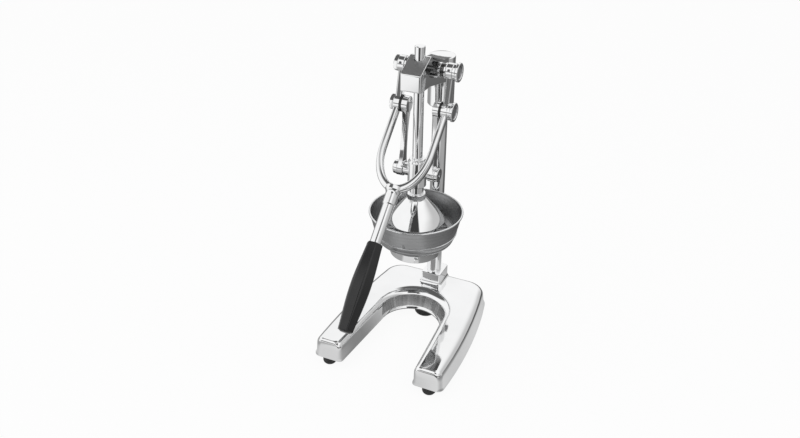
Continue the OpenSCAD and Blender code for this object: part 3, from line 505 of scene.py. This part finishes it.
class JuicerLook(bpy.types.PropertyGroup):
    casting_colour: FloatVectorProperty(
        name="Casting", description="Colour of the polished castings", subtype="COLOR", size=3,
        default=(0.9, 0.903, 0.906), min=0, max=1)
    chrome_colour: FloatVectorProperty(
        name="Chrome", description="Colour of the chrome plate", subtype="COLOR", size=3,
        default=(0.91, 0.913, 0.916), min=0, max=1)
    steel_colour: FloatVectorProperty(
        name="Bowl steel", description="Colour of the satin steel of the bowl", subtype="COLOR", size=3,
        default=(0.43, 0.434, 0.438), min=0, max=1)
    screw_colour: FloatVectorProperty(
        name="Screw steel", description="Colour of the dark screws", subtype="COLOR", size=3,
        default=(0.32, 0.32, 0.33), min=0, max=1)
    bronze_colour: FloatVectorProperty(
        name="Bronze", description="Colour of the bushes", subtype="COLOR", size=3,
        default=(0.72, 0.5, 0.28), min=0, max=1)
    rubber_colour: FloatVectorProperty(
        name="Rubber", description="Colour of the feet", subtype="COLOR", size=3,
        default=(0.018, 0.018, 0.018), min=0, max=1)
    grip_colour: FloatVectorProperty(
        name="Grip", description="Colour of the grip plastic", subtype="COLOR", size=3,
        default=(0.012, 0.012, 0.0125), min=0, max=1)
    washer_colour: FloatVectorProperty(
        name="Washers", description="Colour of the black washers", subtype="COLOR", size=3,
        default=(0.02, 0.02, 0.02), min=0, max=1)
    casting_wave: FloatProperty(
        name="Casting wave", description="Strength of the slow wave left by polishing", default=0.12,
        min=0, max=1, subtype="FACTOR")


class JuicerDetail(bpy.types.PropertyGroup):
    casting_edge: FloatProperty(
        name="Casting edges", description="Width of the rounding on casting edges", default=0.5 * MM,
        min=0, unit="LENGTH")
    head_edge: FloatProperty(
        name="Head edges", description="Width of the rounding on the head's edges", default=0.7 * MM,
        min=0, unit="LENGTH")
    turned_edge: FloatProperty(
        name="Turned edges", description="Width of the rounding on turned parts", default=0.3 * MM,
        min=0, unit="LENGTH")
    grip_edge: FloatProperty(
        name="Grip edges", description="Width of the rounding beside the grip's creases", default=0.35 * MM,
        min=0, unit="LENGTH")
    turning_steps: IntProperty(
        name="Turning steps", description="Faces round a large turned part", default=128, min=32, max=256)


class JuicerStudio(bpy.types.PropertyGroup):
    floor_colour: FloatVectorProperty(
        name="Floor", description="Colour of the floor", subtype="COLOR", size=3,
        default=(0.86, 0.86, 0.86), min=0, max=1)
    floor_width: FloatProperty(
        name="Floor width", description="Side of the floor", default=16.0, min=1, unit="LENGTH")
    daylight: FloatProperty(
        name="Soft light", description="Level of the light from all round", default=0.72, min=0)
    panel_grey: FloatProperty(
        name="Dark panel", description="Grey of the dark panel overhead that the metal shows", default=0.11,
        min=0, max=1)
    key_power: FloatProperty(
        name="Key lamp", description="Power of the large soft lamp", default=5.0, min=0, unit="POWER")


# Pieces

class JUICER_OT_base(bpy.types.Operator):
    """Hollow horseshoe casting with its feet and their screws"""
    bl_idname = "juicer.base"
    bl_label = "Base casting"

    def execute(self, context):
        piece = softened("base", 0.0, shade=36.0)
        settle(piece, "casting raw lined", "polished_casting", "base")
        shape = BVHTree.FromObject(piece, context.evaluated_depsgraph_get())

        def inside(face):
            """Faces that look down, and walls with the roof of the hollow over them."""
            if face.normal.z < -0.5:
                return face.calc_center_median().z > FOOT_TOP + MM
            start = face.calc_center_median() + face.normal * 0.2 * MM
            return shape.ray_cast(start, Vector((0, 0, 1)), HOLLOW_HEIGHT)[0] is not None

        def gap_back(face):
            """Faces of the round wall at the back of the gap."""
            centre = face.calc_center_median()
            inwards = GAP_CENTRE - centre
            inwards.z = 0
            return (inwards.length < GAP_RADIUS and centre.y > GAP_CENTRE.y and abs(face.normal.z) < 0.4
                    and face.normal.dot(inwards) > 0 and centre.z < GAP_WALL_TOP)

        paint(piece, 1, inside)
        # The round wall at the back of the gap gets finish 2: painted shade with upright streaks of painted
        # reflection.
        paint(piece, 2, gap_back)
        dress("rubber", "front_feet", "back_foot")
        dress("screw", "foot_screws")
        return {"FINISHED"}


class JUICER_OT_post(bpy.types.Operator):
    """Post, its bolt, and the holder that carries the bowl"""
    bl_idname = "juicer.post"
    bl_label = "Post and bowl holder"

    def execute(self, context):
        dress("chrome", "post", "bowl_lock_screw")
        piece = softened("bowl_holder", context.scene.juicer_detail.casting_edge, **FLAT_CASTING)
        settle(piece, "casting", "polished_casting", "bowl_holder")
        dress("screw", "post_bolt", "post_washer", "holder_clamp_screw")
        return {"FINISHED"}


class JUICER_OT_bowl(bpy.types.Operator):
    """Stepped bowl with a rolled rim, its rivet, the strainer and the cone"""
    bl_idname = "juicer.bowl"
    bl_label = "Bowl, strainer and cone"

    def execute(self, context):
        steps = context.scene.juicer_detail.turning_steps
        bead = arc((61.2, RIM - BEAD), BEAD, 216, -98, 18)
        outside = [
            (54.9, STEP + 1.2), (55.5, STEP + 0.8), (55.5, STEP + 0.1), (54.7, STEP - 0.5),
            (54.3, STEP - 2.2), (52.6, STEP - 6.2), *arc((45.0, STEP - 7.4), 6.6, 0, -52, 7),
            (37.6, STEP - 19.6), (36.2, RING + 0.6), (35.0, RING), (31.3, RING), (31.3, RING - 6.5),
            (13.0, RING - 10), (13.0, RING - 20),
        ]
        inside = [
            (11.8, RING - 20), (11.8, RING - 8.4), (30.1, RING - 4.4), (30.1, RING + 1.2), (34.6, RING + 1.2),
            (37.0, STEP - 18.0), (47.0, STEP - 10.0), (50.6, STEP - 5.0), (50.9, STEP), (53.5, STEP),
            (53.5, STEP + 1.2),
        ]
        profile = bead + outside + inside
        piece = turned("bowl_shell", in_mm(profile + profile[:1]), steps)
        place(piece, Matrix.Translation(AXIS))
        smooth(piece, 32.0)
        settle(piece, "steel rim", "bowl_steel", "bowl")

        def polished(face):
            """Faces of the rim's bead and of the step line, which get the brighter rim steel: a painted
            highlight.
            """
            centre = face.calc_center_median()
            radius = math.hypot(centre.x - AXIS.x, centre.y - AXIS.y) / MM
            height = centre.z / MM
            on_bead = height > RIM - 1.6 and radius > 60.6
            on_step = radius > 54.8 and abs(height - STEP - 0.4) < 1.0
            return on_bead or on_step

        # The bead and the step line get finish 1: finer polish, and a brighter colour that is a painted
        # highlight.
        paint(piece, 1, polished)
        dress("steel", "bowl_rivet", "strainer")
        dress("casting", "cone")
        return {"FINISHED"}


class JUICER_OT_press(bpy.types.Operator):
    """Press rod, crosshead and bell"""
    bl_idname = "juicer.press"
    bl_label = "Press"

    def execute(self, context):
        detail = context.scene.juicer_detail
        outer = curved([
            (12.0, 31.9), (16.5, 27.7), (23.0, 20.6), (29.5, 13.0), (34.4, 6.6), (38.0, 1.5), (38.4, 0.7)])
        inner = [(radius - BELL_WALL, height - BELL_WALL) for radius, height in outer if radius < 36.0]
        hub = [
            (36.0, 0.4), *reversed(inner),
            (10.4, 29.0), (10.4, 26.0), (6.6, 26.0), (6.6, 32.0), (10.5, 32.0),
        ]
        lip = [(38.4, 0.3), (38.1, 0.0), (36.5, 0.0)]
        profile = [(radius, height + MOUTH) for radius, height in outer + lip + hub]
        piece = turned("bell_dome", in_mm(profile + profile[:1]), detail.turning_steps)
        place(piece, Matrix.Translation(AXIS))
        smooth(piece, 40.0)
        settle(piece, "chrome", "chrome_plate", "press_bell")
        dress("chrome", "press_rod")
        piece = softened("crosshead", detail.turned_edge, **FLAT_CASTING)
        settle(piece, "casting", "polished_casting", "crosshead")
        dress("screw", "crosshead_set_screw", "bell_nut")
        return {"FINISHED"}


class JUICER_OT_head(bpy.types.Operator):
    """Head casting with its bushes and set screws"""
    bl_idname = "juicer.head"
    bl_label = "Head"

    def execute(self, context):
        piece = softened("head", context.scene.juicer_detail.head_edge, **FLAT_CASTING)
        settle(piece, "casting ground", "polished_casting", "head")
        # The sloping top gets finish 1: ground lines, and a colour half the casting's that is painted shade.
        paint(piece, 1, lambda face: abs(face.normal.x) < 0.1 and -0.6 < face.normal.y < -0.3)
        dress("bronze", "guide_bush")
        self.bushes()
        dress("screw", "head_set_screws")
        return {"FINISHED"}

    def bushes(self):
        """Black bushes beside the head, each with a chromed band and a chromed collar at the fork."""
        low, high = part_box("pivot_bushes")
        y, z = (low.y + high.y) / 2, (low.z + high.z) / 2
        end, radius = high.x / MM, (high.z - low.z) / 2 / MM
        barrel, band = radius - 0.9, radius - 0.4
        in_head, head_side, start = 8.0, 9.3, 1.0
        profile = [
            (BUSH_BORE, start), (in_head, start), (in_head, head_side), (barrel, head_side),
            (barrel, end - 10.4), (band, end - 10.0), (band, end - 8.0), (barrel, end - 7.6),
            (barrel, end - 2.6), (radius, end - 2.2), (radius, end - 0.5), (radius - 0.5, end),
            (BUSH_BORE, end),
        ]
        piece = turned("bush_pair", in_mm(profile + profile[:1]), SMALL_STEPS)
        place(piece, sideways(y, z))
        mirrored = turned("bush_left", in_mm(profile + profile[:1]), SMALL_STEPS)
        place(mirrored, sideways(y, z, left=True))
        take(piece)
        mirrored.select_set(True)
        bpy.ops.object.join()
        smooth(piece, 30.0)
        settle(piece, "bush chrome", "washer_plastic", "pivot_bushes")

        def plated(face):
            """Faces of the bands and of the collars."""
            along = abs(face.calc_center_median().x) / MM
            return end - 10.5 < along < end - 7.5 or along > end - 2.4

        paint(piece, 1, plated)


class JUICER_OT_lever(bpy.types.Operator):
    """Fork lever, shaft, pins, caps, nuts and washers"""
    bl_idname = "juicer.lever"
    bl_label = "Fork lever and pivots"

    def execute(self, context):
        detail = context.scene.juicer_detail
        piece = softened("fork_lever", 0.0, shade=36.0)
        settle(piece, "casting", "polished_casting", "fork_lever")
        dress("chrome", "pivot_shaft", "link_pins")
        for node in ("pivot_nut", "pin_nut"):
            piece = softened(node, detail.turned_edge, angle=24.0)
            settle(piece, "chrome", "chrome_plate", node)
        self.cap("pivot_cap", "pivot_cap", "pivot_collar")
        self.cap("pin_cap", "pin_caps")
        dress("screw", "fork_set_screws")
        dress("washer", "link_washers")
        return {"FINISHED"}

    def cap(self, name, *nodes):
        """A turned collar and cap on the fork's right side, with a rounded lip round a dished face."""
        low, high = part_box(nodes[0])
        y, z = (low.y + high.y) / 2, (low.z + high.z) / 2
        start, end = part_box("pivot_collar")[0].x / MM, high.x / MM
        radius = (high.z - low.z) / 2 / MM
        seat, groove = end - 3.4, radius - 2.1
        collar = radius - 1.3
        lip = arc((radius - 1.0, end - 1.0), 1.0, 0, 90, 6) + arc((radius - 2.2, end - 1.3), 1.3, 90, 160, 5)
        profile = [
            (3.0, start), (collar - 0.3, start), (collar, start + 0.3), (collar, seat - 0.9),
            (groove, seat - 0.5), (groove, seat), (radius - 0.4, seat), (radius, seat + 0.4),
            *lip, (radius - 4.2, end - 2.0), (radius - 6.4, end - 2.5), (4.2, end - 2.6), (3.9, end - 2.2),
            (3.5, end - 1.9), (2.3, end - 1.9), (2.1, end - 2.2), (2.1, end - 3.2), (0.0, end - 3.2),
        ]
        piece = turned(name + "_turned", in_mm(profile), SMALL_STEPS)
        place(piece, sideways(y, z))
        smooth(piece, 34.0)
        settle(piece, "chrome screw", "chrome_plate", *nodes)

        def dished(face):
            """Faces within the lip on the cap's outer end."""
            centre = face.calc_center_median()
            return centre.x / MM > end - 3.3 and math.hypot(centre.y - y, centre.z - z) / MM < radius - 3.4

        paint(piece, 1, dished)


class JUICER_OT_handle(bpy.types.Operator):
    """Handle tube, grip and end cap"""
    bl_idname = "juicer.handle"
    bl_label = "Handle"

    def execute(self, context):
        dress("chrome", "handle_tube")
        piece = softened("grip", context.scene.juicer_detail.grip_edge, angle=14.0, shade=40.0)
        settle(piece, "grip", "grip_plastic", "grip")
        dress("grip", "grip_end_cap")
        return {"FINISHED"}


class JUICER_OT_links(bpy.types.Operator):
    """The two links and their lower bolts"""
    bl_idname = "juicer.links"
    bl_label = "Links"

    def execute(self, context):
        detail = context.scene.juicer_detail
        for node in ("left_link", "right_link"):
            piece = softened(node, detail.casting_edge, **FLAT_CASTING)
            settle(piece, "casting", "polished_casting", node)
        piece = softened("lower_link_bolts", detail.turned_edge, angle=50.0, shade=36.0, flat=0.6)
        settle(piece, "chrome", "chrome_plate", "lower_link_bolts")
        return {"FINISHED"}


# Studio

CAMERA_PLACE = (0.372748, -0.840629, 0.742726)
CAMERA_TURN, CAMERA_DOWN, CAMERA_ROLL = 23.828, 30.082, 0.810
CAMERA_LENS, CAMERA_SENSOR = 38.0, 36.0

# Left and right edges of the dark slit that metal sees in front, each from bright to dark, and its depth
SLIT_LEFT, SLIT_RIGHT, SLIT_DEPTH = (-0.56, -0.46), (0.3, 0.2), 0.95

# Azimuth and elevation of the middle of the dark panel overhead, and how far it reaches, in degrees
PANEL_MIDDLE, PANEL_EDGE = (-131, 68.4), (31, 24)

# Shares of the floor that glow evenly to the camera and show its pattern to metal
FLOOR_GLOW, FLOOR_SHINE = 0.93, 0.96

# Name, place, width and share of the key lamp's power of each lamp, and where they point
LAMPS = (("Key lamp", (-0.9, -0.7, 1.4), 1.1, 1.0), ("Fill lamp", (1.2, -0.2, 0.9), 0.9, 0.4))
LAMP_TARGET = (0, 0, 0.15)


def studio_light(studio):
    """Soft light from all round; metal sees white walls and dark patches: a panel overhead, a slit in
    front, low bands in front and behind, and a grey side to the right."""
    world = bpy.data.worlds.new("Studio")
    bpy.context.scene.world = world
    world.use_nodes = True
    world.cycles.sampling_method = "NONE"
    tree = world.node_tree
    tree.nodes.clear()

    def add(kind, settings=None, *inputs):
        node = tree.nodes.new(kind)
        for key, value in (settings or {}).items():
            setattr(node, key, value)
        for i, value in enumerate(inputs):
            if isinstance(value, bpy.types.NodeSocket):
                tree.links.new(value, node.inputs[i])
            elif value is not None:
                node.inputs[i].default_value = value
        return node.outputs[0]

    def calc(operation, a, b=0.0):
        return add("ShaderNodeMath", {"operation": operation}, a, b)

    def product(first, *others):
        for other in others:
            first = calc("MULTIPLY", first, other)
        return first

    def ease(value, start, end):
        return add("ShaderNodeMapRange", {"interpolation_type": "SMOOTHSTEP"}, value, start, end, 0.0, 1.0)

    def towards(azimuth, elevation):
        """Share of a ray's direction along one direction; azimuth from the camera's side, to the right."""
        a, e = math.radians(azimuth - 90 + CAMERA_TURN), math.radians(elevation)
        way = (math.cos(a) * math.cos(e), math.sin(a) * math.cos(e), math.sin(e))
        node = tree.nodes.new("ShaderNodeVectorMath")
        node.operation = "DOT_PRODUCT"
        tree.links.new(direction, node.inputs[0])
        node.inputs[1].default_value = way
        return node.outputs["Value"]

    direction = add("ShaderNodeTexCoord")
    split = tree.nodes.new("ShaderNodeSeparateXYZ")
    tree.links.new(direction, split.inputs[0])
    up = split.outputs["Z"]
    level = calc("SQRT", calc("MAXIMUM", calc("SUBTRACT", 1.0, calc("MULTIPLY", up, up)), 0.0001))

    panel = ease(towards(*PANEL_MIDDLE), *[math.cos(math.radians(angle)) for angle in PANEL_EDGE])
    sideways = calc("DIVIDE", towards(90, 0), level)
    slit = product(ease(sideways, *SLIT_LEFT), ease(sideways, *SLIT_RIGHT), ease(towards(0, 0), 0.0, 0.1),
                   ease(up, 0.93, 0.84), ease(up, 0.4, 0.6))
    back = product(ease(up, -0.25, -0.05), ease(up, 0.13, 0.04), ease(towards(180, 0), 0.05, 0.5))
    front = product(ease(up, -0.08, 0.0), ease(up, 0.2, 0.1), ease(towards(0, 0), 0.1, 0.5))
    right = product(ease(towards(90, 10), 0.35, 0.85), ease(up, 0.75, 0.4))
    depths = ((panel, 1.0 - studio.panel_grey), (slit, SLIT_DEPTH), (back, 0.8), (front, 0.85), (right, 0.42))
    grey = product(1.0, *[calc("SUBTRACT", 1.0, calc("MULTIPLY", patch, depth)) for patch, depth in depths])

    path = tree.nodes.new("ShaderNodeLightPath")
    seen = calc("MAXIMUM", path.outputs["Is Camera Ray"], path.outputs["Is Transmission Ray"])
    mirrored = path.outputs["Is Glossy Ray"]
    soft = calc("ADD", calc("MULTIPLY", grey, mirrored),
                calc("MULTIPLY", calc("SUBTRACT", 1.0, mirrored), studio.daylight))
    strength = calc("ADD", seen, calc("MULTIPLY", calc("SUBTRACT", 1.0, seen), soft))
    background = tree.nodes.new("ShaderNodeBackground")
    background.inputs["Color"].default_value = (1, 1, 1, 1)
    tree.links.new(strength, background.inputs["Strength"])
    output = tree.nodes.new("ShaderNodeOutputWorld")
    tree.links.new(background.outputs[0], output.inputs["Surface"])


def floor_pattern(f):
    """What metal sees of the floor: painted shade near and right under the object, grey beside it, to the
    right and behind, and a dark slit in front."""
    split = f.add("ShaderNodeSeparateXYZ", Vector=f.mapped(rotation=(0, 0, -math.radians(CAMERA_TURN))))
    across, away, _ = split.outputs
    distance = f.length(across, away)
    # Painted shade: the floor's glow is darker near the object, and darker still right under it.
    painted_shade_near = f.span(distance, 0.68, 1.0, 0.1, 0.5)
    painted_shadow_under = f.span(distance, 0.36, 1.0, 0.03, 0.12)
    beyond = f.math("MAXIMUM", distance, 0.05)
    to_right = f.math("DIVIDE", across, beyond)
    to_back = f.math("DIVIDE", away, beyond)

    def ease(value, start, end, low=0.0, high=1.0):
        return f.add("ShaderNodeMapRange", {"interpolation_type": "SMOOTHSTEP"}, i0=value, i1=start, i2=end,
                     i3=low, i4=high).outputs[0]

    far = ease(distance, 0.2, 0.36)
    slit = f.product(ease(to_right, *SLIT_LEFT), ease(to_right, *SLIT_RIGHT), ease(to_back, -0.2, -0.6), far,
                     SLIT_DEPTH)
    right = f.product(ease(to_right, 0.3, 0.6, 0.0, 0.62), ease(distance, 0.11, 0.3))
    back = f.product(ease(to_back, 0.05, 0.5, 0.0, 0.7), far)
    side = f.math("ABSOLUTE", f.add("ShaderNodeSeparateXYZ", Vector=f.coordinates).outputs[0])
    beside = f.product(ease(side, 0.1, 0.15), ease(side, 0.4, 0.25, 0.0, 0.5))
    patches = (slit, right, back, beside)
    return f.product(painted_shade_near, painted_shadow_under, *[f.math("SUBTRACT", 1.0, patch) for patch in patches])


def white_floor(studio):
    """A plain floor that shows white to the camera and keeps a faint shadow."""
    deselect()
    bpy.ops.mesh.primitive_grid_add(x_subdivisions=8, y_subdivisions=8, size=studio.floor_width)
    floor = bpy.context.object
    floor.name = "floor"
    f = Finish("Floor", studio.floor_colour, 0.0, 0.9)
    f.surface.inputs["Specular IOR Level"].default_value = 0.0
    f.tint(f.noise(3.0, 2.0), shade(studio.floor_colour, 0.99), shade(studio.floor_colour, 1.01))
    path = f.add("ShaderNodeLightPath")
    glow = f.add("ShaderNodeEmission", Color=(1, 1, 1, 1), Strength=1.0)
    share = f.math("MULTIPLY", path.outputs["Is Camera Ray"], FLOOR_GLOW)
    mixed = f.add("ShaderNodeMixShader", i0=share, i1=f.surface.outputs[0], i2=glow.outputs[0])
    # To metal the floor glows with floor_pattern, which holds painted shade near and under the object.
    shine = f.add("ShaderNodeEmission", Color=(1, 1, 1, 1), Strength=floor_pattern(f))
    share = f.math("MULTIPLY", path.outputs["Is Glossy Ray"], FLOOR_SHINE)
    mixed = f.add("ShaderNodeMixShader", i0=share, i1=mixed.outputs[0], i2=shine.outputs[0])
    output = f.tree.nodes["Material Output"]
    f.feed(mixed.outputs[0], output.inputs["Surface"])
    floor.data.materials.append(f.material)


def soft_lamp(name, spot, width, power):
    """A square lamp that metal doesn't mirror."""
    lamp = bpy.data.lights.new(name, "AREA")
    lamp.shape = "SQUARE"
    lamp.size = width
    lamp.energy = power
    holder = bpy.data.objects.new(name, lamp)
    bpy.context.scene.collection.objects.link(holder)
    way = Vector(LAMP_TARGET) - Vector(spot)
    holder.matrix_world = Matrix.Translation(spot) @ way.to_track_quat("-Z", "Y").to_matrix().to_4x4()
    holder.visible_glossy = False


class JUICER_OT_studio(bpy.types.Operator):
    """Plain pale floor, soft light and the camera at the photographed angle"""
    bl_idname = "juicer.studio"
    bl_label = "Studio"

    def execute(self, context):
        studio = context.scene.juicer_studio
        context.scene.view_settings.view_transform = "Standard"
        studio_light(studio)
        white_floor(studio)
        for name, spot, width, share in LAMPS:
            soft_lamp(name, spot, width, studio.key_power * share)
        camera = bpy.data.cameras.new("Camera")
        camera.lens, camera.sensor_width, camera.sensor_fit = CAMERA_LENS, CAMERA_SENSOR, "HORIZONTAL"
        holder = bpy.data.objects.new("Camera", camera)
        context.scene.collection.objects.link(holder)
        turn = Matrix.Rotation(math.radians(CAMERA_TURN), 4, "Z")
        down = Matrix.Rotation(math.radians(90 - CAMERA_DOWN), 4, "X")
        roll = Matrix.Rotation(math.radians(CAMERA_ROLL), 4, "Z")
        holder.matrix_world = Matrix.Translation(CAMERA_PLACE) @ turn @ down @ roll
        context.scene.camera = holder
        return {"FINISHED"}


PIECES = (
    JUICER_OT_base, JUICER_OT_post, JUICER_OT_bowl, JUICER_OT_press, JUICER_OT_head,
    JUICER_OT_lever, JUICER_OT_handle, JUICER_OT_links, JUICER_OT_studio,
)


class JUICER_PT_panel(bpy.types.Panel):
    """Lists the juicer's pieces and settings"""
    bl_idname = "JUICER_PT_panel"
    bl_label = "Lever citrus juicer"
    bl_space_type = "VIEW_3D"
    bl_region_type = "UI"
    bl_category = "Juicer"

    def draw(self, context):
        for group in (context.scene.juicer_look, context.scene.juicer_detail, context.scene.juicer_studio):
            column = self.layout.column(align=True)
            for name in group.bl_rna.properties.keys():
                if name not in ("rna_type", "name"):
                    column.prop(group, name)
        for piece in PIECES:
            self.layout.operator(piece.bl_idname)


CLASSES = (JuicerLook, JuicerDetail, JuicerStudio, *PIECES, JUICER_PT_panel)


def register():
    for item in CLASSES:
        bpy.utils.register_class(item)
    bpy.types.Scene.juicer_look = PointerProperty(type=JuicerLook)
    bpy.types.Scene.juicer_detail = PointerProperty(type=JuicerDetail)
    bpy.types.Scene.juicer_studio = PointerProperty(type=JuicerStudio)


def unregister():
    del bpy.types.Scene.juicer_studio
    del bpy.types.Scene.juicer_detail
    del bpy.types.Scene.juicer_look
    for item in reversed(CLASSES):
        bpy.utils.unregister_class(item)


def main():
    register()
    for piece in PIECES:
        group, name = piece.bl_idname.split(".")
        getattr(getattr(bpy.ops, group), name)()
    deselect()


if __name__ == "__main__":
    main()
